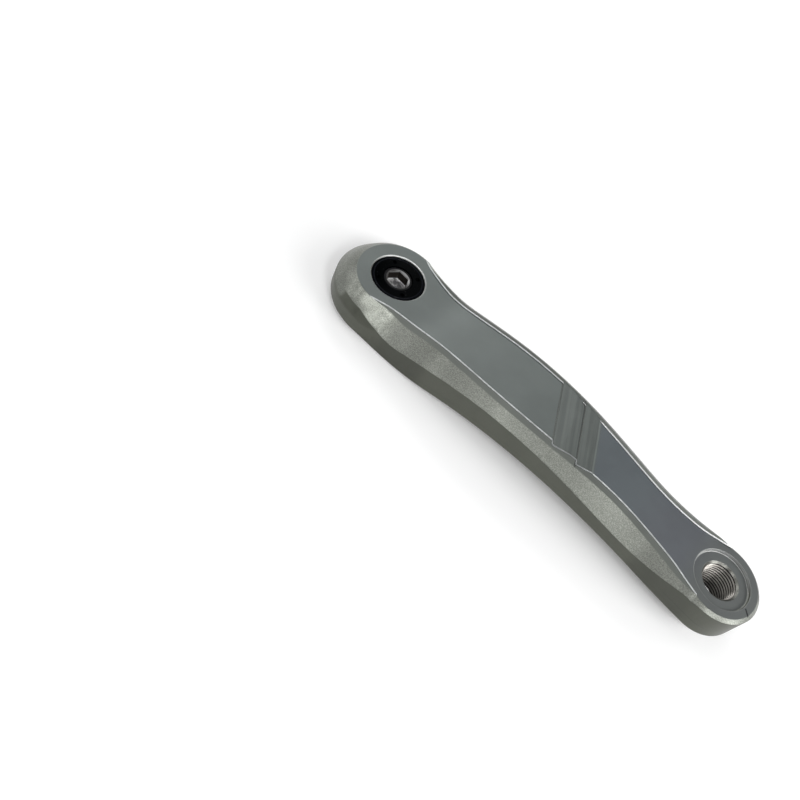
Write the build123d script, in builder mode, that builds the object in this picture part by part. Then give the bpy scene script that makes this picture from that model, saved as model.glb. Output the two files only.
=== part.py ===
"""Left bicycle crank arm with its captive, self-extracting crank bolt.

Millimetres. The origin is on the spindle axis, in the plane of the inboard boss face.
+X runs along the arm to the pedal axis and +Z points outboard.
The outer face rises from the boss to a crown and falls again to the pedal end.
"""

import os
from math import atan, cos, degrees, radians, sin, sqrt

from build123d import *

# Arm: axes, plan outline and side view
crank_length = 160.0
arm_root_radius = 21.75
end_radius = 15.7
boss_thickness = 16.3
root_flat = 15.0
root_bend_radius = 55.0
crown_x = 93.0
crown_rise = 7.9
end_flat = 8.0
end_rise = 4.6
inner_root_flat = 14.0
inner_root_bend_radius = 100.0
inner_crown_x = 99.0
inner_crown_rise = 11.15
inner_end_rise = 6.4
inner_edge_round = 1.2

# Round boss, wider than the arm: its face, shoulder, flank, wall and foot
boss_face_radius = 16.8
boss_shoulder_radius = 20.0
boss_radius = 23.5
boss_foot_width = 2.3
boss_foot_height = 3.2
boss_cone_half_arc = 98.0

# Outer panel, its raised lip and the wide chamfer outside it
end_face_radius = 14.3
end_face_angle = 105.0
neck_x = 19.0
neck_half_width = 12.05
shoulder_x = 50.0
shoulder_half_width = 12.55
middle_half_width = 11.5
waist_from_end = 32.5
waist_half_width = 8.75
haunch_from_end = 16.0
haunch_half_width = 10.4
lip_height = 0.25
lip_run_in = 0.09
lip_run_out = 0.07
ledge_slope = 0.31
chamfer_lift = 1.7
chamfer_slope = 0.88
flank_slope = 1.24
flank_climb = 0.155
flank_share = 0.22
edge_stations = 21
flank_stations = 12
edge_run_on = 3.0

# Two saw-tooth grooves that cross the outer panel at the crown
groove_direction = -63.0
groove_depth = 0.25
groove_wall_run = 0.2
groove_run_out = 0.8
groove_x = 79.4
groove_width = 8.6
second_groove_x = 90.6
second_groove_width = 6.6

# Pedal hole, 9/16 in x 20 left-hand, bored to its major diameter
pedal_thread_radius = 7.144
pedal_mouth_chamfer = 0.3
pedal_seat_radius = 11.3
pedal_seat_depth = 1.2
pedal_seat_round = 0.6
inner_pad_radius = 10.6
inner_pad_proud = 1.0

# Splined spindle socket
spline_count = 10
spline_minor_radius = 8.7
spline_major_radius = 10.0
spline_lobe_radius = 1.6
socket_mouth_chamfer = 0.5

# Web that the bolt pulls on, and the threaded counterbore of the extractor cap
web_thickness = 2.6
web_hole_clearance = 0.35
cap_thread_radius = 11.0
cap_mouth_chamfer = 0.35

# Captive bolt, its washers and the cap
bolt_radius = 5.95
bolt_flange_radius = 8.5
bolt_flange_thickness = 2.2
bolt_tip_setback = 1.0
bolt_tip_chamfer = 0.8
bolt_top_recess = 0.85
bolt_top_chamfer = 0.35
hex_across_flats = 8.0
hex_depth = 4.6
hex_mouth_chamfer = 0.5
thrust_washer_thickness = 0.8
glide_washer_thickness = 0.5
washer_clearance = 0.25
bolt_end_play = 0.15
cap_recess = 0.45
cap_plate_thickness = 1.5
cap_thread_clearance = 0.05
cap_running_clearance = 0.05
cap_skirt_wall = 1.9
cap_skirt_gap = 0.3
cap_rim_chamfer = 0.4
cap_groove_radius = 9.85
cap_groove_width = 0.5
cap_groove_depth = 0.25
pin_hole_count = 4
pin_hole_circle_radius = 8.15
pin_hole_radius = 0.9
pin_hole_depth = 0.8
pin_hole_turn = 53.5

# Heights and radii that follow
clear = 6.0
spare = lip_height + 1.25
crown_height = boss_thickness + crown_rise
end_height = boss_thickness + end_rise
inner_pad_height = inner_end_rise - inner_pad_proud
cap_top = boss_thickness - cap_recess
cap_underside = cap_top - cap_plate_thickness
flange_top = cap_underside - bolt_end_play - glide_washer_thickness
flange_seat = flange_top - bolt_flange_thickness
web_top = flange_seat - thrust_washer_thickness
socket_depth = web_top - web_thickness
bolt_top = boss_thickness - bolt_top_recess
web_hole_radius = bolt_radius + web_hole_clearance
washer_bore_radius = bolt_radius + washer_clearance
cap_radius = cap_thread_radius - cap_thread_clearance
cap_bore_radius = bolt_radius + cap_running_clearance
waist_x = crank_length - waist_from_end
haunch_x = crank_length - haunch_from_end
end_touch_x = crank_length + end_face_radius * cos(radians(end_face_angle))
end_touch_y = end_face_radius * sin(radians(end_face_angle))
boss_shoulder_height = boss_thickness - chamfer_slope * (boss_shoulder_radius - boss_face_radius)
boss_wall_height = boss_shoulder_height - flank_slope * (boss_radius - boss_shoulder_radius)
flank_lift = (flank_slope - chamfer_slope) * (boss_shoulder_radius - boss_face_radius)
heel_x = -boss_radius - clear
tip_x = crank_length + end_radius + clear
sky = crown_height + clear

panel_root = (root_flat, boss_thickness)
panel_crown = (crown_x, crown_height)
panel_end = (crank_length - end_flat, end_height)
inner_root = (inner_root_flat, 0)
inner_crown = (inner_crown_x, inner_crown_rise)
inner_end = (crank_length + end_radius, inner_end_rise)


def s_bend_radii(start, end, first_radius=None):
    """Turn in degrees, and both radii, of two tangent arcs that join two level points."""
    run = end[0] - start[0]
    climb = end[1] - start[1]
    turn = 2 * atan(climb / run)
    total = run / sin(abs(turn))
    first = first_radius or total / 2
    return degrees(turn), first, total - first


def s_bend(start, end, first_radius=None):
    """Draws the two arcs from start to end."""
    turn, first, second = s_bend_radii(start, end, first_radius)
    leaving = JernArc(start=start, tangent=(1, 0), radius=first, arc_size=turn)
    JernArc(start=leaving @ 1, tangent=leaving % 1, radius=second, arc_size=-turn)


def s_bend_height(x, start, end, first_radius=None):
    """Height of the same two arcs at x."""
    turn, first, second = s_bend_radii(start, end, first_radius)
    side = 1 if turn > 0 else -1
    if x <= start[0]:
        return start[1]
    if x >= end[0]:
        return end[1]
    if x <= start[0] + first * sin(abs(radians(turn))):
        return start[1] + side * (first - sqrt(first**2 - (x - start[0]) ** 2))
    return end[1] - side * (second - sqrt(second**2 - (end[0] - x) ** 2))


def panel_height(x):
    """Height of the outer panel at x."""
    if x < crown_x:
        return s_bend_height(x, panel_root, panel_crown, root_bend_radius)
    return s_bend_height(x, panel_crown, panel_end)


def panel_line(raised):
    """Draws the side view of the outer panel from heel to tip, raised by some height."""
    root = (panel_root[0], panel_root[1] + raised)
    crown = (panel_crown[0], panel_crown[1] + raised)
    end = (panel_end[0], panel_end[1] + raised)
    Line((heel_x, boss_thickness + raised), root)
    s_bend(root, crown, root_bend_radius)
    s_bend(crown, end)
    Line(end, (tip_x, end_height + raised))


def ease(share):
    """Smooth growth from 0 to 1 over a share from 0 to 1."""
    share = min(1.0, max(0.0, share))
    return share * share * (3 - 2 * share)


def edge_plane(edge, share, run_on=0.0):
    """Upright plane across the panel's edge: local x points out of the panel, local y up."""
    along = edge % share
    point = edge @ share - along * run_on
    origin = (point.X, point.Y, panel_height(point.X))
    return Plane(origin=origin, x_dir=(-along.Y, along.X, 0), z_dir=(along.X, along.Y, 0))


def cut_above(height, slope):
    """Corners of a cut above a line that falls outward from a height at the panel's edge."""
    reach = boss_radius / 2 + clear
    return [(-1, height + slope), (reach, height - slope * reach), (reach, clear), (-1, clear)]


def chamfer_section(share):
    """Cut above the wide chamfer, which runs into the cone at each end."""
    lift = chamfer_lift * ease(share / lip_run_in) * ease((1 - share) / lip_run_out)
    return cut_above(lift, chamfer_slope)


def flank_section(x):
    """Cut above the steep flank under the chamfer, which climbs off the body with x."""
    lift = flank_lift + flank_climb * x
    reach = boss_radius + clear
    return [((lift - clear) / flank_slope, clear), (reach, lift - flank_slope * reach), (reach, clear)]


def groove_plane(x):
    """Plane across a groove that meets the arm's centre line at x, tilted with the panel."""
    slope = (panel_height(x + 1) - panel_height(x - 1)) / 2
    turn = radians(groove_direction)
    along = Vector(cos(turn), sin(turn), slope * cos(turn))
    across = Vector(-slope, 0, 1).cross(along)
    return Plane(origin=(x, 0, panel_height(x)), x_dir=across, z_dir=along)


# Plan view of the panel's edge, on the +Y side
with BuildLine() as panel_edge:
    Spline(
        (0, boss_face_radius),
        (neck_x, neck_half_width),
        (shoulder_x, shoulder_half_width),
        ((shoulder_x + waist_x) / 2, middle_half_width),
        (waist_x, waist_half_width),
        (haunch_x, haunch_half_width),
        (end_touch_x, end_touch_y),
        tangents=[(1, -0.42), (end_touch_y, crank_length - end_touch_x)],
    )
edge_line = panel_edge.edges()[0]

# Space above the panel, which is sunk below its lip
with BuildPart() as panel_pocket:
    with BuildSketch():
        with BuildLine():
            add(edge_line)
            mirror(edge_line, about=Plane.XZ)
            CenterArc((0, 0), boss_face_radius, start_angle=90, arc_size=180)
            Line((end_touch_x, end_touch_y), (end_touch_x, -end_touch_y))
        make_face()
        with Locations((crank_length, 0)):
            Circle(end_face_radius)
    extrude(amount=sky)
    with BuildSketch(Plane.XZ):
        with BuildLine():
            panel_line(0)
            Polyline((tip_x, end_height), (tip_x, sky), (heel_x, sky), (heel_x, boss_thickness))
        make_face()
    extrude(amount=boss_radius + clear, both=True, mode=Mode.INTERSECT)

# Ledge outside the lip, along both edges of the panel
with BuildPart() as ledge_cut:
    for station in range(edge_stations):
        place = station / (edge_stations - 1)
        with BuildSketch(edge_plane(edge_line, place)):
            with BuildLine():
                Polyline(*cut_above(lip_height, ledge_slope), close=True)
            make_face()
    loft()
    mirror(about=Plane.XZ)

# Wide chamfer outside the ledge
with BuildPart() as chamfer_cut:
    with BuildSketch(edge_plane(edge_line, 0, edge_run_on)):
        with BuildLine():
            Polyline(*chamfer_section(0), close=True)
        make_face()
    for station in range(edge_stations):
        place = station / (edge_stations - 1)
        with BuildSketch(edge_plane(edge_line, place)):
            with BuildLine():
                Polyline(*chamfer_section(place), close=True)
            make_face()
    loft()
    mirror(about=Plane.XZ)

# Steep flank below the chamfer, beside the boss
with BuildPart() as flank_cut:
    with BuildSketch(edge_plane(edge_line, 0, edge_run_on)):
        with BuildLine():
            Polyline(*flank_section(0), close=True)
        make_face()
    for station in range(flank_stations):
        place = flank_share * station / (flank_stations - 1)
        with BuildSketch(edge_plane(edge_line, place)):
            with BuildLine():
                Polyline(*flank_section((edge_line @ place).X), close=True)
            make_face()
    loft()
    mirror(about=Plane.XZ)

# Round boss
with BuildPart() as boss:
    with BuildSketch(Plane.XZ):
        with BuildLine():
            Polyline(
                (0, 0),
                (boss_radius - boss_foot_width, 0),
                (boss_radius, boss_foot_height),
                (boss_radius, boss_wall_height),
                (boss_shoulder_radius, boss_shoulder_height),
                (boss_face_radius, boss_thickness),
                (0, boss_thickness),
                close=True,
            )
        make_face()
    revolve(axis=Axis.Z)

# Space round the back of the boss
with BuildPart() as boss_cone:
    with BuildSketch(Plane.XZ.rotated((0, 0, 180 - boss_cone_half_arc))):
        with BuildLine():
            rim = boss_radius + clear
            Polyline(
                (boss_face_radius - spare, boss_thickness + chamfer_slope * spare),
                (boss_shoulder_radius, boss_shoulder_height),
                (rim, boss_wall_height - flank_slope * clear),
                (rim, sky),
                (boss_face_radius - spare, sky),
                close=True,
            )
        make_face()
    revolve(axis=Axis.Z, revolution_arc=2 * boss_cone_half_arc)

# Cone round the tip of the pedal end
with BuildPart() as end_cone:
    with BuildSketch(Plane(origin=(crank_length, 0, 0), x_dir=(1, 0, 0), z_dir=(0, -1, 0))):
        with BuildLine():
            rim = end_radius + clear
            Polyline(
                (end_face_radius - spare, end_height + chamfer_slope * spare),
                (rim, end_height - chamfer_slope * (rim - end_face_radius)),
                (rim, sky),
                (end_face_radius - spare, sky),
                close=True,
            )
        make_face()
    revolve(axis=Axis((crank_length, 0, 0), (0, 0, 1)), revolution_arc=end_face_angle)
    mirror(about=Plane.XZ)

# Grooves, each with a steep start and a floor that climbs back to the panel and out through the lip
with BuildPart() as grooves:
    for start, width in ((groove_x, groove_width), (second_groove_x, second_groove_width)):
        with BuildSketch(groove_plane(start)):
            with BuildLine():
                Polyline(
                    (-groove_wall_run, lip_height),
                    (groove_wall_run, -groove_depth),
                    (width, 0),
                    (width + 2 * groove_run_out, 2 * lip_height),
                    (width + 2 * groove_run_out, clear),
                    (-groove_wall_run, clear),
                    close=True,
                )
            make_face()
        extrude(amount=boss_radius, both=True)

# Pedal hole with a sunk seat on the outer side
with BuildPart() as pedal_hole:
    with BuildSketch(Plane(origin=(crank_length, 0, 0), x_dir=(1, 0, 0), z_dir=(0, -1, 0))):
        with BuildLine():
            low = inner_pad_height
            high = end_height - pedal_seat_depth
            mouth_radius = pedal_thread_radius + pedal_mouth_chamfer
            Polyline(
                (0, -clear),
                (mouth_radius, -clear),
                (mouth_radius, low),
                (pedal_thread_radius, low + pedal_mouth_chamfer),
                (pedal_thread_radius, high - pedal_mouth_chamfer),
                (mouth_radius, high),
                (pedal_seat_radius - pedal_seat_round, high),
            )
            corner = JernArc(
                start=(pedal_seat_radius - pedal_seat_round, high),
                tangent=(1, 0),
                radius=pedal_seat_round,
                arc_size=90,
            )
            Polyline(corner @ 1, (pedal_seat_radius, sky), (0, sky), (0, -clear))
        make_face()
    revolve(axis=Axis((crank_length, 0, 0), (0, 0, 1)))

# Web hole and the threaded counterbore
with BuildPart() as cap_bore:
    with BuildSketch(Plane.XZ):
        with BuildLine():
            Polyline(
                (0, socket_depth - web_thickness),
                (web_hole_radius, socket_depth - web_thickness),
                (web_hole_radius, web_top),
                (cap_thread_radius, web_top),
                (cap_thread_radius, boss_thickness - cap_mouth_chamfer),
                (cap_thread_radius + cap_mouth_chamfer, boss_thickness),
                (cap_thread_radius + cap_mouth_chamfer, sky),
                (0, sky),
                close=True,
            )
        make_face()
    revolve(axis=Axis.Z)

# Splined socket with a chamfered mouth
with BuildPart() as spindle_socket:
    with BuildSketch():
        Circle(spline_minor_radius)
        with PolarLocations(spline_major_radius - spline_lobe_radius, spline_count):
            Circle(spline_lobe_radius)
    extrude(amount=socket_depth)
    with BuildSketch(Plane.XZ):
        with BuildLine():
            Polyline(
                (0, -clear),
                (spline_major_radius + socket_mouth_chamfer + clear, -clear),
                (spline_major_radius, socket_mouth_chamfer),
                (0, socket_mouth_chamfer),
                close=True,
            )
        make_face()
    revolve(axis=Axis.Z)

with BuildPart() as crank_arm:
    with BuildSketch():
        Circle(arm_root_radius)
        with Locations((crank_length, 0)):
            Circle(end_radius)
        make_hull()
    extrude(amount=sky)
    with BuildSketch(Plane.XZ):
        with BuildLine():
            panel_line(spare)
            Polyline((tip_x, end_height + spare), (tip_x, inner_end_rise), inner_end)
            Polyline((heel_x, boss_thickness + spare), (heel_x, 0), inner_root)
            s_bend(inner_root, inner_crown, inner_root_bend_radius)
            s_bend(inner_crown, inner_end)
        make_face()
    extrude(amount=boss_radius + clear, both=True, mode=Mode.INTERSECT)
    inner_edges = crank_arm.edges().filter_by(lambda e: e.center().Z < boss_thickness * 0.8)
    inner_edges = inner_edges.filter_by(Axis.Y, reverse=True).filter_by(Axis.Z, reverse=True)
    fillet(inner_edges, radius=inner_edge_round)
    with BuildSketch(Plane.XY.offset(inner_pad_height)):
        with Locations((crank_length, 0)):
            Circle(inner_pad_radius)
    extrude(amount=clear)
    add(boss.part)
    add(ledge_cut.part, mode=Mode.SUBTRACT)
    add(chamfer_cut.part, mode=Mode.SUBTRACT)
    add(flank_cut.part, mode=Mode.SUBTRACT)
    add(boss_cone.part, mode=Mode.SUBTRACT)
    add(end_cone.part, mode=Mode.SUBTRACT)
    add(panel_pocket.part, mode=Mode.SUBTRACT)
    add(grooves.part, mode=Mode.SUBTRACT)
    add(pedal_hole.part, mode=Mode.SUBTRACT)
    add(cap_bore.part, mode=Mode.SUBTRACT)
    add(spindle_socket.part, mode=Mode.SUBTRACT)

with BuildPart() as extractor_cap:
    with BuildSketch(Plane.XZ):
        with BuildLine():
            skirt_bottom = web_top + cap_skirt_gap
            Polyline(
                (cap_bore_radius, cap_underside),
                (cap_radius - cap_skirt_wall, cap_underside),
                (cap_radius - cap_skirt_wall, skirt_bottom),
                (cap_radius, skirt_bottom),
                (cap_radius, cap_top - cap_rim_chamfer),
                (cap_radius - cap_rim_chamfer, cap_top),
                (cap_groove_radius + cap_groove_width / 2, cap_top),
                (cap_groove_radius, cap_top - cap_groove_depth),
                (cap_groove_radius - cap_groove_width / 2, cap_top),
                (cap_bore_radius, cap_top),
                close=True,
            )
        make_face()
    revolve(axis=Axis.Z)
    with BuildSketch(Plane.XY.offset(cap_top)):
        with PolarLocations(pin_hole_circle_radius, pin_hole_count, start_angle=pin_hole_turn):
            Circle(pin_hole_radius)
    extrude(amount=-pin_hole_depth, mode=Mode.SUBTRACT)

with BuildPart() as thrust_washer:
    with BuildSketch(Plane.XY.offset(web_top)):
        Circle(bolt_flange_radius)
        Circle(washer_bore_radius, mode=Mode.SUBTRACT)
    extrude(amount=thrust_washer_thickness)

with BuildPart() as glide_washer:
    with BuildSketch(Plane.XY.offset(flange_top)):
        Circle(bolt_flange_radius)
        Circle(washer_bore_radius, mode=Mode.SUBTRACT)
    extrude(amount=glide_washer_thickness)

with BuildPart() as crank_bolt:
    with BuildSketch(Plane.XZ):
        with BuildLine():
            Polyline(
                (0, bolt_tip_setback),
                (bolt_radius - bolt_tip_chamfer, bolt_tip_setback),
                (bolt_radius, bolt_tip_setback + bolt_tip_chamfer),
                (bolt_radius, flange_seat),
                (bolt_flange_radius, flange_seat),
                (bolt_flange_radius, flange_top),
                (bolt_radius, flange_top),
                (bolt_radius, bolt_top - bolt_top_chamfer),
                (bolt_radius - bolt_top_chamfer, bolt_top),
                (0, bolt_top),
                close=True,
            )
        make_face()
    revolve(axis=Axis.Z)
    with BuildSketch(Plane.XY.offset(bolt_top)):
        RegularPolygon(radius=hex_across_flats / 2, side_count=6, major_radius=False)
    extrude(amount=-hex_depth, mode=Mode.SUBTRACT)
    with BuildSketch(Plane.XZ):
        with BuildLine():
            mouth = hex_across_flats / sqrt(3) + hex_mouth_chamfer / 2
            Polyline((0, bolt_top), (mouth, bolt_top), (0, bolt_top - mouth * 0.55), close=True)
        make_face()
    revolve(axis=Axis.Z, mode=Mode.SUBTRACT)

crank_arm.part.label = "crank_arm"
extractor_cap.part.label = "extractor_cap"
thrust_washer.part.label = "thrust_washer"
glide_washer.part.label = "glide_washer"
crank_bolt.part.label = "crank_bolt"

os.makedirs("parts", exist_ok=True)
export_step(crank_arm.part, "parts/crank_arm.step")
export_step(extractor_cap.part, "parts/extractor_cap.step")
export_step(thrust_washer.part, "parts/thrust_washer.step")
export_step(glide_washer.part, "parts/glide_washer.step")
export_step(crank_bolt.part, "parts/crank_bolt.step")
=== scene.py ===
"""Looks of a silver left bicycle crank arm with its black extractor cap and steel bolt.

Metres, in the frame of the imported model: +X runs from the spindle to the pedal, +Z outboard.
Materials and small details are laid out in millimetres.
"""

from math import cos, pi, radians, sin

import bmesh
import bpy
from mathutils import Matrix, Vector


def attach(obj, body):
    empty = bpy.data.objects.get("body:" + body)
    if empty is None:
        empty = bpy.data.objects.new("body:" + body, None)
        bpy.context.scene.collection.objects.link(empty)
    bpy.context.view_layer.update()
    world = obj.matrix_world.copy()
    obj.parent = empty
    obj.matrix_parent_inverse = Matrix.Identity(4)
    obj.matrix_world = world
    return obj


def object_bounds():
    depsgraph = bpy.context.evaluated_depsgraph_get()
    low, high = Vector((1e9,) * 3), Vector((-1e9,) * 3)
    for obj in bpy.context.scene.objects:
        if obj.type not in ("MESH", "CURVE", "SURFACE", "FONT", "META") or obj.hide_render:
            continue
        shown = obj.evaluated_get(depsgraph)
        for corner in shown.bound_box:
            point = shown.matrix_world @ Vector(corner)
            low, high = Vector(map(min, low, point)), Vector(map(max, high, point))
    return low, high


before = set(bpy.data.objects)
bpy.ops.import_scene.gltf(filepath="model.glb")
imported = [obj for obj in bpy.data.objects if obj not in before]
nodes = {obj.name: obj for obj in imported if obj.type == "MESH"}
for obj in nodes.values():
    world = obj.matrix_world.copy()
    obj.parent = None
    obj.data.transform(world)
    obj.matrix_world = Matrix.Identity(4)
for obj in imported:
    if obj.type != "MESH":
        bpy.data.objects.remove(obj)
cad_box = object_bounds()

MM = 0.001
WHITE = (1.0, 1.0, 1.0)

# Camera, solved from the outline of the arm in the photograph
camera_place = (0.092687, -0.217660, 0.251476)
camera_right = (0.6928, 0.6438, 0.3249)
camera_up = (-0.6983, 0.4864, 0.5251)
camera_lens = 38.64
camera_sensor = 36.0
camera_clip_start = 0.01

# Softboxes: name, azimuth from +X and height in degrees, side in metres, power in watts
lit_point = (0.08, 0.0, 0.015)
softbox_distance = 0.95
softboxes = [
    ("right_softbox", 0, 28, 0.5, 5.15),
    ("far_right_softbox", 45, 28, 0.5, 1.64),
    ("far_softbox", 90, 52, 0.5, 0.42),
    ("far_strip", 110, 46, 0.25, 0.37),
    ("far_left_softbox", 135, 28, 0.5, 1.86),
    ("left_softbox", 180, 28, 0.5, 2.06),
    ("top_softbox", 180, 76, 0.5, 0.58),
    ("low_left_softbox", 205, 15, 0.5, 0.40),
    ("near_left_softbox", 225, 28, 0.5, 1.09),
    ("near_strip", 255, 46, 0.25, 1.10),
    ("near_right_strip", 320, 46, 0.25, 3.13),
]

# Floor and surroundings: the glow, near and far, is what only the camera and reflections see
floor_color = (0.86, 0.86, 0.86)
floor_half_side = 3.0
floor_middle_x = 0.08
floor_gap = 0.02
glow_from, glow_to = 230.0, 1100.0
glow_near, glow_far = 0.17, 1.0
world_color = (0.93, 0.96, 1.0)
world_strength = 0.05

# Colours of the arm's anodising on its several kinds of face, told apart by how far each face turns
# upward: partly a real two-tone finish, blasted chamfers and smoother walls, and partly painted light and
# shade, the steep walls darker and the upward chamfers lighter than their metal alone
wall_color = (0.091, 0.096, 0.077)
chamfer_color = (0.241, 0.252, 0.224)
ledge_color = (0.180, 0.192, 0.176)
panel_color = (0.133, 0.150, 0.144)
ring_color = (0.50, 0.51, 0.50)
nick_color = (0.022, 0.024, 0.024)
seam_color = (0.02, 0.02, 0.02)

# Colours of the lip, the pedal thread, the cap, the bolt and the washers
lip_dark = (0.54, 0.56, 0.56)
lip_light = (0.74, 0.77, 0.77)
# Painted highlight on the far lip
far_lip_highlight = (0.97, 0.98, 0.98)
thread_dark = (0.42, 0.40, 0.37)
thread_light = (0.54, 0.52, 0.48)
# Painted shade in the thread's roots
thread_root_shade = (0.020, 0.017, 0.015)
lead_in_color = (0.18, 0.18, 0.165)
cap_black = (0.0006, 0.0009, 0.0011)
cap_dust = (0.09, 0.09, 0.09)
# Painted sheen of the cap's rim and groove
cap_painted_sheen = (0.010, 0.011, 0.014)
bolt_face_color = (0.011, 0.011, 0.012)
bolt_socket_color = (0.022, 0.018, 0.015)
# Painted highlight on the mouth of the bolt's socket
bolt_mouth_highlight = (0.34, 0.34, 0.34)
rubbed_dark = (0.34, 0.34, 0.35)
rubbed_light = (0.86, 0.86, 0.86)
steel_dark = (0.40, 0.40, 0.40)
steel_light = (0.55, 0.55, 0.54)
plastic_dark = (0.60, 0.59, 0.55)
plastic_light = (0.72, 0.71, 0.67)

# Upward part of the normal at which each kind of face begins and is reached
slanted_level = (0.25, 0.58)
ledge_level = (0.78, 0.90)
panel_level = (0.962, 0.977)

# Rounding of the arm's edges, in millimetres, and where the boss's begins in radius and ends in x
edge_round = 0.35
groove_round = 0.75
boss_round = 3.2
boss_round_begins = (17.2, 18.6)
boss_round_ends = (8.0, 14.0)

# Flank of the boss: steep past a reach from the axis, then turning into the chamfer along x
sloped_level = (0.35, 0.60)
steep_reach = (20.8, 21.5)
steep_stretch = (-5.0, 14.0, 8.0)
steep_tilt = 0.2
joined_level = (0.63, 0.75)
joined_stretch = (5.0, 26.0, 4.0)
joined_tilt = 1.36
lean_stretch = (1.0, 6.5, 10.0)
lean_level = (0.82, 0.92)
lean_share = 0.58

# Painted shade on stretches of the flanks: from and to x in millimetres, edge width
shaded_pedal_flank = (138.0, 154.0, 9.0)
shaded_boss_flank = (18.0, 30.0, 9.0)
flank_shade_tone = 0.76
shaded_chamfer_stretch = (44.0, 58.0, 10.0)
shaded_heel = (-14.0, -6.0)
chamfer_shade_tone = 0.84

# Painted highlights and shade on stretches of the chamfer round the boss: from and to x, edge width, tone
chamfer_light_and_shade = [
    (-14.5, -10.3, 2.0, 0.83),
    (-3.5, 14.5, 2.0, 1.13),
    (0.8, 5.8, 2.2, 1.20),
    (11.7, 13.0, 1.8, 1.18),
]

# Painted light on the panel along x, shade near the boss and reflected tints past the grooves, and
# painted light and shade on the far side's ledge, chamfer and lip
panel_shade_stretch = (0.0, 30.0)
panel_shade_tone = (0.96, 0.96, 0.96)
bluish_run_in = 1.5
bluish_end = (142.0, 156.0)
bluish_reflection_tone = (0.95, 0.96, 1.07)
warm_stretch = (116.0, 136.0)
warm_reflection_tone = (1.02, 0.97, 0.99)
far_side = (3.0, 7.0)
far_ledge_stretch = (55.0, 135.0)
far_ledge_light_and_shade = (0.80, 1.30)
far_chamfer_start = (10.0, 24.0)
far_chamfer_stretch = (82.0, 92.0)
far_chamfer_shade_tones = (0.60, 0.25)
far_lip_stretch = (75.0, 90.0)
far_lip_shares = (0.25, 1.0)

# Sizes of the grain, the smears and the dust, and the reach of the painted shade in corners, in
# millimetres
grain_size = 0.36
fine_size = 0.10
speck_size = 0.34
cloud_size = 14.0
streak_width = 4 / 3
streak_stretch = 0.02
lip_rub_size = 3.0
thread_smear_size = 2.2
cap_smear_size = 5.0
cap_dust_size = 0.45
bolt_rub_size = 1.7
bolt_fine_size = 0.25
washer_rub_size = 1.5
corner_shade_reach = 0.8

# Roughness of each surface, at the low and the high end of its grain
arm_roughness = (0.37, 0.43)
lip_roughness = (0.44, 0.36)
thread_roughness = (0.30, 0.36)
cap_roughness = (0.05, 0.09)
bolt_roughness = (0.34, 0.42)

# Turned rings: from and to a radius, edge width, and the height above which the pedal seat is turned
cap_ring = (10.9, 11.5, 0.1)
seat_ring = (10.75, 11.55, 0.15)
seat_height = (19.2, 19.6)
# Side toward which the turned rings get a painted highlight
ring_highlight_side = (0.4, -0.92, 0.0)

# Grooves across the panel: their direction, and where they start, step and end across it
groove_direction = radians(-63.0)
groove_first = 70.7
groove_step = 80.7
groove_last = 87.3
groove_edge = 0.8
groove_tone = (1.0, 0.98, 0.965)
groove_round_stretch = (groove_first - 0.6, groove_last + 0.8, 0.6)
# Painted highlight along the end of the grooves and painted shade along their step
groove_end_highlight = (groove_last, groove_last + 0.3, 0.3)
groove_end_highlight_tone = (1.35, 1.35, 1.35)
groove_step_shade = (groove_step - 0.3, groove_step + 0.1, 0.3)
groove_step_shade_tone = (0.55, 0.55, 0.55)
groove_rim_side = (-8.0, -6.0)
groove_rim_tone = 0.50

# Nick in the rim of the tip and parting line on the near wall, in millimetres
nick_length_axis = (0.733, -0.681, 0.0)
nick_width_axis = (0.681, 0.733, 0.0)
nick_length = (127.6, 130.3, 0.3)
nick_width = (115.05, 115.37, 0.25)
nick_height = (18.0, 19.0)
seam_fall = 0.055
seam_height = (20.80, 20.92, 0.22)
seam_length = (150.0, 166.0, 5.0)
seam_share = 0.22

# Cap and bolt, in millimetres: radii of the rim and the hex socket, and the socket's heights
cap_groove = (9.65, 10.05, 0.1)
cap_rim = (10.5, 10.6)
turning_pitch = 0.22
socket_radius = (4.72, 4.90)
socket_floor = (11.0, 11.4)
socket_mouth_radius = (5.0, 5.1)
socket_mouth_height = (14.5, 14.7)
bolt_edge_round = 0.18
# Side toward which the socket's mouth gets a painted highlight
bolt_highlight_side = (-0.2, -1.0, 0.0)

# Pedal thread and its lead-in, in millimetres
pedal_x = 160.0
thread_radius = 7.02
thread_depth = 0.58
thread_pitch = 1.27
thread_low = 5.42
thread_high = 19.2
thread_start_turn = 1.66
thread_flank_share = 0.577
thread_run_out = 0.5
thread_segments = 96
thread_sharp_angle = radians(25)
lead_in_radius = 7.42
lead_in_top = 19.69
lead_in_depth = 0.70
lead_in_foot = (7.0, 18.90)
lead_in_low = (18.7, 18.9)
root_radius = (thread_radius - 0.44, thread_radius - 0.22)
root_high = (18.75, 18.90)
thread_shadow = (7.0, 15.0)

# Rounded bead on the lip of the outer panel, in millimetres
bead_radius = 0.29
bead_rise = 0.22
bead_outset = 0.05
bead_step = 0.6
bead_sides = 10
bead_end_taper = 1.6
bead_end_share = 0.15
lip_gap = 2.5
shortest_line = 1.0
lip_lowest = 16.2
lip_eye_distance = 12.5

# Edges that carry a bead: upward parts of the normals of the two faces that meet in them, and places
crest_steepest = 0.2
crest_level = (0.6, 0.975)
rim_steep = (0.9, 0.975)
rim_level = 0.93
rim_bend = radians(6)
rim_skew = 0.4
rim_stretch = (groove_first - 1.5, groove_last + 2.5)
rim_side = -8.0


def add_node(tree, kind, inputs=None, **settings):
    """Adds a shader node, sets its properties, and sets or links its inputs."""
    node = tree.nodes.new(kind)
    for name, value in settings.items():
        setattr(node, name, value)
    for name, value in (inputs or {}).items():
        if isinstance(value, bpy.types.NodeSocket):
            tree.links.new(value, node.inputs[name])
        else:
            node.inputs[name].default_value = value
    return node


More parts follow.
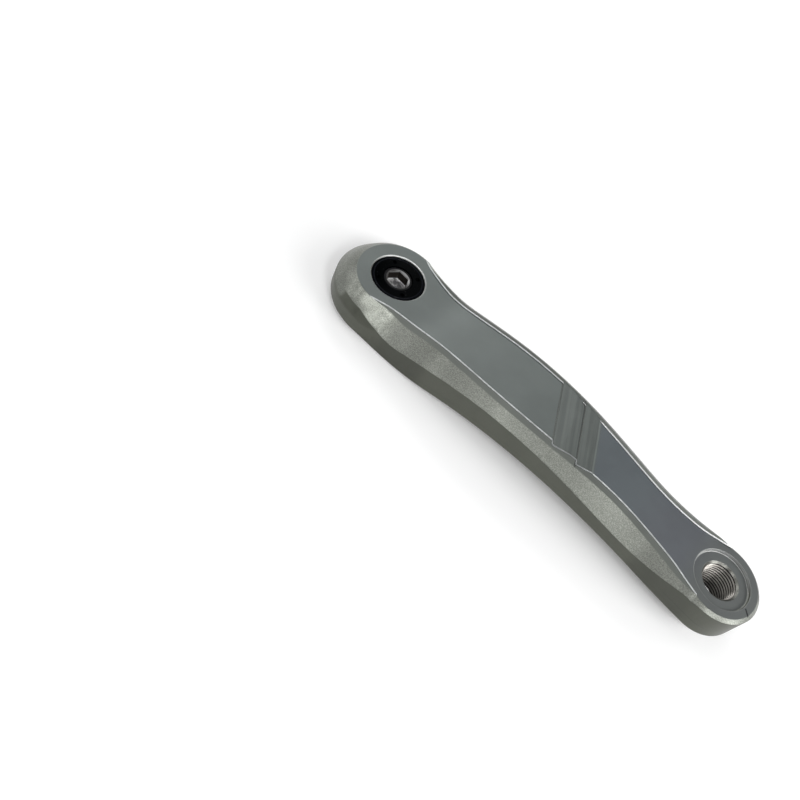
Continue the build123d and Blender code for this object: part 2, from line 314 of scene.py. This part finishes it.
def math_node(tree, operation, first, second=0.0, clamp=False):
    """Output of a math node."""
    inputs = {0: first, 1: second}
    return add_node(tree, "ShaderNodeMath", inputs, operation=operation, use_clamp=clamp).outputs[0]


def product(tree, first, *others):
    """Product of several values."""
    for other in others:
        first = math_node(tree, "MULTIPLY", first, other)
    return first


def step_node(tree, value, low, high, start=0.0, end=1.0):
    """Output that goes smoothly from start to end while value goes from low to high."""
    inputs = {"Value": value, "From Min": low, "From Max": high, "To Min": start, "To Max": end}
    settings = {"interpolation_type": "SMOOTHSTEP", "clamp": True}
    return add_node(tree, "ShaderNodeMapRange", inputs, **settings).outputs[0]


def band_node(tree, value, low, high, edge):
    """Output that is 1 between low and high and falls to 0 over the edge width outside them."""
    rising = step_node(tree, value, low - edge, low)
    return product(tree, rising, step_node(tree, value, high, high + edge, 1.0, 0.0))


def mix_node(tree, factor, first, second, blend="MIX"):
    """Output of a colour mix."""
    node = add_node(tree, "ShaderNodeMix", data_type="RGBA", blend_type=blend)
    sockets = (node.inputs[0], node.inputs[6], node.inputs[7])
    for socket, value in zip(sockets, (factor, first, second)):
        if isinstance(value, bpy.types.NodeSocket):
            tree.links.new(value, socket)
        else:
            socket.default_value = value if socket.type == "VALUE" else (*value, 1.0)
    return node.outputs[2]


def shade(tree, color, tone):
    """Colour times a tone."""
    return mix_node(tree, 1.0, color, tone, "MULTIPLY")


def tint(tree, color, mask, tone):
    """Colour times a tone where the mask is 1."""
    return shade(tree, color, mix_node(tree, mask, WHITE, tone))


def fade(tree, color, mask, tone):
    """Colour that goes smoothly to a single tone of itself as the mask goes to 1."""
    return shade(tree, color, step_node(tree, mask, 0.0, 1.0, 1.0, tone))


def vector_node(tree, operation, first, second):
    """Vector output of a vector math node."""
    return add_node(tree, "ShaderNodeVectorMath", {0: first, 1: second}, operation=operation).outputs[0]


def dot_node(tree, first, second):
    """Dot product of two vectors."""
    inputs = {0: first, 1: second}
    return add_node(tree, "ShaderNodeVectorMath", inputs, operation="DOT_PRODUCT").outputs["Value"]


def length_node(tree, vector):
    """Length of a vector."""
    return add_node(tree, "ShaderNodeVectorMath", {0: vector}, operation="LENGTH").outputs["Value"]


def vector_of(tree, x=0.0, y=0.0, z=0.0):
    """Vector of three values."""
    return add_node(tree, "ShaderNodeCombineXYZ", {"X": x, "Y": y, "Z": z}).outputs[0]


def upward(tree, vector):
    """Upward part of a vector."""
    return add_node(tree, "ShaderNodeSeparateXYZ", {0: vector}).outputs["Z"]


def place_node(tree):
    """Place on the model in millimetres, as a vector and as its three coordinates."""
    metres = add_node(tree, "ShaderNodeTexCoord").outputs["Object"]
    inputs = {0: metres, "Scale": 1 / MM}
    place = add_node(tree, "ShaderNodeVectorMath", inputs, operation="SCALE").outputs[0]
    return place, add_node(tree, "ShaderNodeSeparateXYZ", {0: place}).outputs


def axis_distance(tree, place, x):
    """Distance from the upright axis at x, in millimetres."""
    flat = vector_node(tree, "ADD", place, (-x, 0.0, 0.0))
    return length_node(tree, vector_node(tree, "MULTIPLY", flat, (1.0, 1.0, 0.0)))


def groove_distance(tree, place):
    """Distance across the grooves, in millimetres."""
    return dot_node(tree, place, (-sin(groove_direction), cos(groove_direction), 0.0))


def noise_node(tree, place, size, detail=2.0, roughness=0.5):
    """Output of a noise whose features are about that many millimetres wide."""
    inputs = {"Vector": place, "Scale": 1.0 / size, "Detail": detail, "Roughness": roughness}
    return add_node(tree, "ShaderNodeTexNoise", inputs).outputs[0]


def bump_node(tree, height, strength, depth, **facing):
    """Normal bumped by a height, to a depth in millimetres."""
    inputs = {"Height": height, "Strength": strength, "Distance": depth * MM, **facing}
    return add_node(tree, "ShaderNodeBump", inputs).outputs[0]


def new_material(name, **shader):
    """Material with one principled shader, and its node tree."""
    material = bpy.data.materials.new(name)
    material.use_nodes = True
    tree = material.node_tree
    principled = tree.nodes["Principled BSDF"]
    for socket, value in shader.items():
        principled.inputs[socket.replace("_", " ")].default_value = value
    return material, tree, principled


def set_material(thing, material):
    """Makes that the only material of an object."""
    thing.data.materials.clear()
    thing.data.materials.append(material)


def new_piece(name, vertices, faces, body, material):
    """Smooth mesh object that rides on a body of the model."""
    mesh = bpy.data.meshes.new(name)
    mesh.from_pydata(vertices, [], faces)
    mesh.shade_smooth()
    piece = bpy.data.objects.new(name, mesh)
    bpy.context.scene.collection.objects.link(piece)
    set_material(piece, material)
    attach(piece, body)
    return piece


def arm_facing(tree, across, hub, x, y):
    """Normal of the arm with rounded edges: wide round the boss, less wide in the grooves."""
    round_side = step_node(tree, x, *boss_round_ends, 1.0, 0.0)
    round_side = product(tree, round_side, step_node(tree, hub, *boss_round_begins))
    grooved = band_node(tree, across, *groove_round_stretch)
    radius = step_node(tree, grooved, 0.0, 1.0, edge_round * MM, groove_round * MM)
    wider = step_node(tree, round_side, 0.0, 1.0, 0.0, boss_round * MM)
    radius = math_node(tree, "ADD", radius, wider)
    facing = add_node(tree, "ShaderNodeBevel", {"Radius": radius}, samples=8).outputs[0]
    level = upward(tree, facing)
    sloped = step_node(tree, level, *sloped_level)

    # The flank of the boss is steep below a line, and past the boss it runs into the chamfer
    reach = length_node(tree, vector_of(tree, math_node(tree, "MINIMUM", x, 0.0), y))
    low = product(tree, step_node(tree, reach, *steep_reach), band_node(tree, x, *steep_stretch))
    joined = product(tree, sloped, step_node(tree, level, *joined_level, 1.0, 0.0))
    joined = product(tree, joined, band_node(tree, x, *joined_stretch))
    steep = step_node(tree, low, 0.0, 1.0, 1.0, steep_tilt)
    tilt = product(tree, steep, step_node(tree, joined, 0.0, 1.0, 1.0, joined_tilt))
    facing = vector_node(tree, "MULTIPLY", facing, vector_of(tree, 1.0, 1.0, tilt))
    lean = product(tree, band_node(tree, x, *lean_stretch), sloped)
    lean = product(tree, lean, step_node(tree, level, *lean_level, lean_share, 0.0))
    facing = vector_node(tree, "ADD", facing, vector_of(tree, lean))
    return add_node(tree, "ShaderNodeVectorMath", {0: facing}, operation="NORMALIZE").outputs[0]


def flank_colors(tree, slanted, x):
    """Colour of the walls and chamfers, with painted shade and painted highlights on stretches of them.
    """
    color = mix_node(tree, slanted, wall_color, chamfer_color)
    # Painted shade on stretches of the flanks and chamfer
    pedal_flank = band_node(tree, x, *shaded_pedal_flank)
    shaded = math_node(tree, "MAXIMUM", pedal_flank, band_node(tree, x, *shaded_boss_flank))
    color = fade(tree, color, shaded, flank_shade_tone)
    heel = step_node(tree, x, *shaded_heel, 1.0, 0.0)
    shaded = math_node(tree, "MAXIMUM", band_node(tree, x, *shaded_chamfer_stretch), heel)
    color = fade(tree, color, product(tree, shaded, slanted), chamfer_shade_tone)
    # Painted highlights and shade on the chamfer round the boss
    for low_x, high_x, edge, tone in chamfer_light_and_shade:
        part = product(tree, band_node(tree, x, low_x, high_x, edge), slanted)
        color = fade(tree, color, part, tone)
    return color


def panel_tones(tree, color, panel, across, x):
    """Colour with painted light on the panel: shade near the boss, a bluish painted reflection past the
    grooves, then a warmer one.
    """
    boss_shade = product(tree, panel, step_node(tree, x, *panel_shade_stretch, 1.0, 0.0))
    color = tint(tree, color, boss_shade, panel_shade_tone)
    bluish = step_node(tree, across, groove_last, groove_last + bluish_run_in)
    bluish = product(tree, bluish, panel, step_node(tree, x, *bluish_end, 1.0, 0.0))
    color = tint(tree, color, bluish, bluish_reflection_tone)
    warm = product(tree, step_node(tree, x, *warm_stretch), panel)
    return tint(tree, color, warm, warm_reflection_tone)


def small_marks(tree, color, place, slanted, x, z):
    """Colour with a dark nick in the rim of the tip and a faint parting line along the wall."""
    nick = band_node(tree, dot_node(tree, place, nick_length_axis), *nick_length)
    nick = product(tree, nick, band_node(tree, dot_node(tree, place, nick_width_axis), *nick_width))
    nick = product(tree, nick, step_node(tree, z, *nick_height))
    color = mix_node(tree, nick, color, nick_color)
    height = math_node(tree, "ADD", z, product(tree, x, seam_fall))
    seam = product(tree, band_node(tree, height, *seam_height), band_node(tree, x, *seam_length))
    seam = product(tree, seam, step_node(tree, slanted, 0.0, 0.5, seam_share, 0.0))
    return mix_node(tree, seam, color, seam_color)


def arm_material():
    """Satin silver anodising: fine on the faces, blasted on the chamfers, bare on the turned rings;
    painted light and shade lie in its colours by kind of face, side and stretch.
    """
    material, tree, principled = new_material("arm_silver", Metallic=0.5)
    place, (x, y, z) = place_node(tree)
    hub = axis_distance(tree, place, 0.0)
    eye = axis_distance(tree, place, pedal_x)
    across = groove_distance(tree, place)
    facing = arm_facing(tree, across, hub, x, y)

    level = upward(tree, facing)
    slanted = step_node(tree, level, *slanted_level)
    ledge = step_node(tree, level, *ledge_level)
    panel = step_node(tree, level, *panel_level)
    chamfer = product(tree, slanted, step_node(tree, ledge, 0.0, 1.0, 1.0, 0.0))
    seat_wall = product(tree, band_node(tree, eye, *seat_ring), step_node(tree, z, *seat_height))
    rings = math_node(tree, "MAXIMUM", band_node(tree, hub, *cap_ring), seat_wall)
    # Painted highlight: the bare rings are bright mostly on the side toward one light
    ring_highlight = step_node(tree, dot_node(tree, facing, ring_highlight_side), -0.10, 0.55, 0.08, 1.0)
    rings = product(tree, rings, ring_highlight)

    grain = noise_node(tree, place, grain_size)
    fine = noise_node(tree, place, fine_size)
    cloud = noise_node(tree, place, cloud_size, 3.0)
    specks = step_node(tree, noise_node(tree, place, speck_size, 1.0), 0.60, 0.74)
    along_axis = (streak_stretch * cos(groove_direction), streak_stretch * sin(groove_direction), 0.0)
    streak_place = vector_of(tree, across, dot_node(tree, place, along_axis))
    streaks = noise_node(tree, streak_place, streak_width, 3.0)
    cut = product(tree, band_node(tree, across, groove_first, groove_last, groove_edge), panel)
    # Painted highlight at the end of the grooves and painted shade at their step
    end_highlight = product(tree, band_node(tree, across, *groove_end_highlight), panel)
    step_shade = product(tree, band_node(tree, across, *groove_step_shade), ledge)

    # The colours by kind of face paint light and shade as well as the two-tone finish
    color = flank_colors(tree, slanted, x)
    color = mix_node(tree, ledge, color, ledge_color)
    color = mix_node(tree, panel, color, panel_color)
    color = panel_tones(tree, color, panel, across, x)
    color = tint(tree, color, chamfer, step_node(tree, grain, 0.34, 0.66, 0.74, 1.26))
    color = tint(tree, color, product(tree, chamfer, specks), (1.35, 1.35, 1.33))
    color = shade(tree, color, step_node(tree, cloud, 0.30, 0.70, 0.95, 1.05))
    color = tint(tree, color, cut, step_node(tree, streaks, 0.32, 0.68, 0.86, 1.10))
    color = tint(tree, color, cut, groove_tone)
    color = tint(tree, color, end_highlight, groove_end_highlight_tone)
    color = tint(tree, color, step_shade, groove_step_shade_tone)
    color = mix_node(tree, rings, color, ring_color)

    # Painted light and shade on the far side: its ledge darker near the boss and lighter toward the
    # pedal, its chamfer shaded darker, most of all toward the pedal
    far = step_node(tree, y, *far_side)
    far_ledge = product(tree, far, math_node(tree, "SUBTRACT", ledge, panel, clamp=True))
    color = tint(tree, color, far_ledge, step_node(tree, x, *far_ledge_stretch, *far_ledge_light_and_shade))
    far_chamfer = product(tree, far, chamfer, step_node(tree, x, *far_chamfer_start))
    color = tint(tree, color, far_chamfer, step_node(tree, x, *far_chamfer_stretch, *far_chamfer_shade_tones))
    color = small_marks(tree, color, place, slanted, x, z)

    # Painted shade in the corners beside the lip and the grooves, darker where nearby surface hides more
    # of them
    inputs = {"Distance": corner_shade_reach * MM}
    corner = add_node(tree, "ShaderNodeAmbientOcclusion", inputs, samples=8).outputs["AO"]
    corner_shade = step_node(tree, corner, 0.50, 0.92, 0.30, 1.0)
    color = shade(tree, color, mix_node(tree, chamfer, corner_shade, WHITE))
    tree.links.new(color, principled.inputs["Base Color"])
    tree.links.new(step_node(tree, fine, 0.3, 0.7, *arm_roughness), principled.inputs["Roughness"])
    rise = product(tree, grain, step_node(tree, chamfer, 0.0, 1.0, 0.1, 1.0))
    rise = math_node(tree, "ADD", rise, product(tree, streaks, cut))
    tree.links.new(bump_node(tree, rise, 0.4, 0.04, Normal=facing), principled.inputs["Normal"])
    return material


def bare_edge_material():
    """Brighter metal of the worn lip, painted with a highlight on the far side, duller on the rims of the
    grooves.
    """
    material, tree, principled = new_material("lip_silver", Metallic=0.6)
    place, (x, y, _) = place_node(tree)
    rub = noise_node(tree, place, lip_rub_size, 4.0)
    color = mix_node(tree, step_node(tree, rub, 0.35, 0.65), lip_dark, lip_light)
    # Painted highlight on the far side's lip
    far = step_node(tree, y, *far_side)
    far = product(tree, far, step_node(tree, x, *far_lip_stretch, *far_lip_shares))
    color = mix_node(tree, far, color, far_lip_highlight)
    grooved = band_node(tree, groove_distance(tree, place), groove_first, groove_last, groove_edge)
    grooved = product(tree, grooved, step_node(tree, y, *groove_rim_side, 1.0, 0.0))
    color = fade(tree, color, grooved, groove_rim_tone)
    tree.links.new(color, principled.inputs["Base Color"])
    tree.links.new(step_node(tree, rub, 0.3, 0.7, *lip_roughness), principled.inputs["Roughness"])
    return material


def thread_material():
    """Cut aluminium: bright crests, with painted shade in the roots and more painted shade deeper in the
    hole.
    """
    material, tree, principled = new_material("thread_silver", Metallic=0.8)
    place, (_, _, z) = place_node(tree)
    eye = axis_distance(tree, place, pedal_x)
    smear = noise_node(tree, place, thread_smear_size, 3.0)
    # Painted shade in the roots of the thread
    root_shade = step_node(tree, eye, *root_radius)
    root_shade = product(tree, root_shade, step_node(tree, z, *root_high, 1.0, 0.0))
    color = mix_node(tree, step_node(tree, smear, 0.35, 0.7), thread_dark, thread_light)
    color = shade(tree, color, step_node(tree, z, *thread_shadow, 0.30, 1.0))
    color = mix_node(tree, step_node(tree, z, *lead_in_low), color, lead_in_color)
    color = mix_node(tree, root_shade, color, thread_root_shade)
    tree.links.new(color, principled.inputs["Base Color"])
    tree.links.new(step_node(tree, smear, 0.3, 0.7, *thread_roughness), principled.inputs["Roughness"])
    return material


def cap_material():
    """Glossy black anodising with a faint painted sheen in the rim groove and on the rim, turning marks
    and dust.
    """
    material, tree, principled = new_material("cap_gloss", Specular_IOR_Level=0.008)
    place, _ = place_node(tree)
    hub = axis_distance(tree, place, 0.0)
    dust = step_node(tree, noise_node(tree, place, cap_dust_size), 0.71, 0.79)
    smear = noise_node(tree, place, cap_smear_size, 3.0)
    color = mix_node(tree, dust, cap_black, cap_dust)
    # Painted sheen in the rim groove and on the rim
    rim = step_node(tree, hub, *cap_rim)
    sheen = math_node(tree, "MAXIMUM", band_node(tree, hub, *cap_groove), rim)
    color = mix_node(tree, sheen, color, cap_painted_sheen)
    tree.links.new(color, principled.inputs["Base Color"])
    tree.links.new(step_node(tree, smear, 0.3, 0.7, *cap_roughness), principled.inputs["Roughness"])
    turning = math_node(tree, "SINE", product(tree, hub, 2 * pi / turning_pitch))
    tree.links.new(bump_node(tree, turning, 0.03, 0.02), principled.inputs["Normal"])
    return material


def bolt_material():
    """Dark steel, rubbed bright on the floor of the socket where a key has turned, with the edge of the
    socket's mouth rubbed and painted with a highlight on the side toward one light.
    """
    material, tree, principled = new_material("bolt_steel_dark", Metallic=0.6, Specular_IOR_Level=0.08)
    place, (_, _, z) = place_node(tree)
    hub = axis_distance(tree, place, 0.0)
    rub = noise_node(tree, place, bolt_rub_size)
    fine = noise_node(tree, place, bolt_fine_size)
    edge = add_node(tree, "ShaderNodeBevel", {"Radius": bolt_edge_round * MM}, samples=6).outputs[0]
    inside = step_node(tree, hub, *socket_radius, 1.0, 0.0)
    floor = product(tree, inside, step_node(tree, z, *socket_floor, 1.0, 0.0))
    # Painted highlight on the edge of the socket's mouth, on the side toward one light
    mouth = step_node(tree, hub, *socket_mouth_radius, 1.0, 0.0)
    mouth = product(tree, mouth, step_node(tree, z, *socket_mouth_height))
    mouth = product(tree, mouth, step_node(tree, upward(tree, edge), 0.90, 0.97, 1.0, 0.0))
    mouth = product(tree, mouth, step_node(tree, dot_node(tree, edge, bolt_highlight_side), 0.1, 0.5, 0.25, 1.0))
    rubbed = mix_node(tree, step_node(tree, rub, 0.42, 0.58), rubbed_dark, rubbed_light)
    color = mix_node(tree, inside, bolt_face_color, bolt_socket_color)
    color = mix_node(tree, floor, color, rubbed)
    color = mix_node(tree, mouth, color, bolt_mouth_highlight)
    color = shade(tree, color, step_node(tree, fine, 0.3, 0.7, 0.85, 1.10))
    tree.links.new(color, principled.inputs["Base Color"])
    tree.links.new(step_node(tree, fine, 0.3, 0.7, *bolt_roughness), principled.inputs["Roughness"])
    tree.links.new(bump_node(tree, fine, 0.15, 0.02, Normal=edge), principled.inputs["Normal"])
    return material


def washer_material(name, light, dark, metallic):
    """Plain washer with faint rubbing."""
    material, tree, principled = new_material(name, Metallic=metallic, Roughness=0.45)
    place, _ = place_node(tree)
    rub = noise_node(tree, place, washer_rub_size, 3.0)
    color = mix_node(tree, step_node(tree, rub, 0.3, 0.7), dark, light)
    tree.links.new(color, principled.inputs["Base Color"])
    return material


def is_crest(steep, level, place):
    """Tells whether two faces meet in the crest of the lip."""
    clear_of_eye = (place.xy - Vector((pedal_x * MM, 0))).length > lip_eye_distance * MM
    faces_in = abs(steep.z) < crest_steepest and steep.y * place.y < 0
    flat = crest_level[0] < level.z < crest_level[1]
    return faces_in and flat and place.z > lip_lowest * MM and clear_of_eye


def is_groove_rim(steep, level, place):
    """Tells whether two faces meet in the near rim of a groove."""
    across = Vector((-sin(groove_direction), cos(groove_direction), 0))
    in_groove = rim_stretch[0] < across.dot(place) / MM < rim_stretch[1]
    beside = place.y < rim_side * MM and abs(across.dot(steep)) < rim_skew
    bent = steep.angle(level) > rim_bend
    return in_groove and beside and bent and rim_steep[0] < steep.z < rim_steep[1] and level.z > rim_level


def edge_lines(belongs):
    """Lines of points along the arm's convex edges that belong, read from its own mesh."""
    arm = bmesh.new()
    arm.from_mesh(nodes["crank_arm"].data)
    bmesh.ops.remove_doubles(arm, verts=arm.verts, dist=0.001 * MM)
    arm.normal_update()
    chosen = set()
    near = {}
    for edge in arm.edges:
        if len(edge.link_faces) != 2 or not edge.is_convex:
            continue
        normals = [face.normal for face in edge.link_faces]
        steep, level = sorted(normals, key=lambda normal: normal.z)
        if belongs(steep, level, (edge.verts[0].co + edge.verts[1].co) / 2):
            chosen.add(edge)
            for vert in edge.verts:
                near.setdefault(vert, []).append(edge)
    lines = []
    while chosen:
        ends = [v for v in near if sum(e in chosen for e in near[v]) == 1]
        vert = min(ends or [v for e in chosen for v in e.verts], key=lambda v: v.co.x)
        line = [vert.co.copy()]
        while True:
            following = [e for e in near[vert] if e in chosen]
            if not following:
                break
            chosen.discard(following[0])
            vert = following[0].other_vert(vert)
            line.append(vert.co.copy())
        lines.append(line)
    arm.free()
    return [line for line in lines if (line[-1] - line[0]).length > shortest_line * MM]


def join_lines(lines):
    """Joins the lines whose ends lie close to each other, from the boss outward."""
    joined = []
    for line in sorted(lines, key=lambda line: line[0].x):
        if joined and (line[0] - joined[-1][-1]).length < lip_gap * MM:
            joined[-1].extend(line)
        else:
            joined.append(list(line))
    return joined


def even_steps(line, step):
    """Points at even steps along a line of points."""
    gaps = [(b - a).length for a, b in zip(line, line[1:])]
    count = max(2, round(sum(gaps) / step))
    points = []
    start = 0
    reached = 0.0
    for i in range(count + 1):
        target = sum(gaps) * i / count
        while start < len(gaps) - 1 and reached + gaps[start] < target:
            reached += gaps[start]
            start += 1
        points.append(line[start].lerp(line[start + 1], (target - reached) / gaps[start]))
    return points


def bead(name, line, material):
    """Rounded bead along a line of edges, thinner at its two ends."""
    points = even_steps(line, bead_step * MM)
    vertices = []
    faces = []
    for i, point in enumerate(points):
        ahead = points[min(i + 1, len(points) - 1)] - points[max(i - 1, 0)]
        out = Vector((-ahead.y, ahead.x, 0)).normalized()
        out *= 1 if out.y * point.y > 0 else -1
        to_end = min((point - points[0]).length, (point - points[-1]).length)
        share = min(1.0, bead_end_share + to_end / (bead_end_taper * MM))
        for k in range(bead_sides):
            turn = 2 * pi * k / bead_sides
            place = point + out * (bead_outset + share * bead_radius * cos(turn)) * MM
            place.z += (bead_rise + share * bead_radius * (sin(turn) - 1)) * MM
            place.z = min(place.z, cad_box[1][2])
            vertices.append(place)
    for i in range(len(points) - 1):
        for k in range(bead_sides):
            a = i * bead_sides + k
            b = i * bead_sides + (k + 1) % bead_sides
            faces.append((a, b, b + bead_sides, a + bead_sides))
    faces.append(tuple(range(bead_sides)))
    faces.append(tuple(range(len(vertices) - bead_sides, len(vertices))))
    return new_piece(name, vertices, faces, "arm", material)


def round_eye(radius, turn, z):
    """Point round the pedal axis, from millimetres."""
    return Vector((pedal_x + radius * cos(turn), radius * sin(turn), z)) * MM


def pedal_thread(material):
    """Left-hand thread in the pedal hole, one strip of quads along the helix, and its lead-in."""
    flank = thread_depth * thread_flank_share
    crest = thread_pitch / 4
    across = [(0.0, 0.0), (flank, 1.0), (flank + crest, 1.0), (2 * flank + crest, 0.0)]
    turns = int((thread_high - thread_low) / thread_pitch + thread_start_turn) + 1
    vertices = []
    faces = []
    for i in range(turns * thread_segments + 1):
        turn = 2 * pi * i / thread_segments
        for offset, height in across:
            z = thread_high + thread_pitch * (thread_start_turn - i / thread_segments) - offset
            height *= max(0.0, min(1.0, (thread_high - z) / thread_run_out))
            radius = thread_radius - thread_depth * height
            vertices.append(round_eye(radius, turn, min(thread_high, max(thread_low, z))))
    width = len(across)
    for i in range(turns * thread_segments):
        for k in range(width):
            a = i * width + k
            b = a + 1 if k < width - 1 else (i + thread_segments) * width
            c = b + width
            if c < len(vertices):
                faces.append((a, a + width, c, b))
    start = len(vertices)
    mouth = (lead_in_radius, lead_in_top)
    throat = (lead_in_radius - lead_in_depth, lead_in_top - lead_in_depth)
    for radius, z in (mouth, throat, lead_in_foot):
        for i in range(thread_segments):
            vertices.append(round_eye(radius, 2 * pi * i / thread_segments, z))
    for row in range(2):
        for i in range(thread_segments):
            a = start + row * thread_segments + i
            b = start + row * thread_segments + (i + 1) % thread_segments
            faces.append((b, a, a + thread_segments, b + thread_segments))
    piece = new_piece("pedal_thread_turns", vertices, faces, "arm", material)
    piece.data.set_sharp_from_angle(angle=thread_sharp_angle)
    return piece


def area_lamp(name, around, above, side, power):
    """Square softbox that faces the middle of the arm from an azimuth and a height, in degrees."""
    lamp = bpy.data.lights.new(name, "AREA")
    lamp.shape = "SQUARE"
    lamp.size = side
    lamp.energy = power
    around = radians(around)
    above = radians(above)
    away = Vector((cos(around) * cos(above), sin(around) * cos(above), sin(above)))
    thing = bpy.data.objects.new(name, lamp)
    thing.location = Vector(lit_point) + away * softbox_distance
    thing.rotation_euler = away.to_track_quat("Z", "Y").to_euler()
    bpy.context.scene.collection.objects.link(thing)


def make_floor():
    """Plain white floor under the boss."""
    material, tree, principled = new_material("floor_white", Roughness=0.9, Specular_IOR_Level=0.1)
    principled.inputs["Base Color"].default_value = (*floor_color, 1)
    principled.inputs["Emission Color"].default_value = (*WHITE, 1)
    rays = add_node(tree, "ShaderNodeLightPath").outputs
    seen = math_node(tree, "MAXIMUM", rays["Is Camera Ray"], rays["Is Glossy Ray"])
    seen = math_node(tree, "MAXIMUM", seen, rays["Is Transmission Ray"])
    place, _ = place_node(tree)
    glow = step_node(tree, axis_distance(tree, place, 0.0), glow_from, glow_to, glow_near, glow_far)
    tree.links.new(product(tree, seen, glow), principled.inputs["Emission Strength"])
    half = floor_half_side
    corners = [(-half, -half, 0), (half, -half, 0), (half, half, 0), (-half, half, 0)]
    mesh = bpy.data.meshes.new("floor")
    mesh.from_pydata(corners, [], [(0, 1, 2, 3)])
    floor = bpy.data.objects.new("floor", mesh)
    floor.location = (floor_middle_x, 0, cad_box[0][2] - floor_gap * MM)
    bpy.context.scene.collection.objects.link(floor)
    set_material(floor, material)


def make_world():
    """Even pale surroundings, seen as white."""
    world = bpy.data.worlds.new("studio")
    world.use_nodes = True
    bpy.context.scene.world = world
    tree = world.node_tree
    background = tree.nodes["Background"].inputs
    seen = add_node(tree, "ShaderNodeLightPath").outputs["Is Camera Ray"]
    tree.links.new(mix_node(tree, seen, world_color, WHITE), background["Color"])
    tree.links.new(step_node(tree, seen, 0.0, 1.0, world_strength, 1.0), background["Strength"])


def make_camera():
    """Camera of the photograph."""
    data = bpy.data.cameras.new("camera")
    data.lens = camera_lens
    data.sensor_width = camera_sensor
    data.clip_start = camera_clip_start
    camera = bpy.data.objects.new("camera", data)
    right = Vector(camera_right).normalized()
    back = right.cross(Vector(camera_up)).normalized()
    up = back.cross(right)
    turn = Matrix((right, up, back)).transposed()
    camera.matrix_world = Matrix.Translation(camera_place) @ turn.to_4x4()
    bpy.context.scene.collection.objects.link(camera)
    bpy.context.scene.camera = camera


make_camera()
make_floor()
make_world()
for softbox in softboxes:
    area_lamp(*softbox)

plain_steel = washer_material("washer_plain_steel", steel_light, steel_dark, 0.9)
pale_plastic = washer_material("washer_pale_plastic", plastic_light, plastic_dark, 0.0)
set_material(nodes["crank_arm"], arm_material())
set_material(nodes["extractor_cap"], cap_material())
set_material(nodes["crank_bolt"], bolt_material())
set_material(nodes["thrust_washer"], plain_steel)
set_material(nodes["glide_washer"], pale_plastic)

lip_metal = bare_edge_material()
crests = edge_lines(is_crest)
far_lips = join_lines([line for line in crests if line[0].y > 0])
near_crests = [line for line in crests if line[0].y < 0]
near_lips = join_lines(near_crests + edge_lines(is_groove_rim))
for number, line in enumerate(near_lips + far_lips, 1):
    bead(f"panel_lip_{number}", line, lip_metal)
pedal_thread(thread_material())

bpy.context.scene.view_settings.view_transform = "Standard"
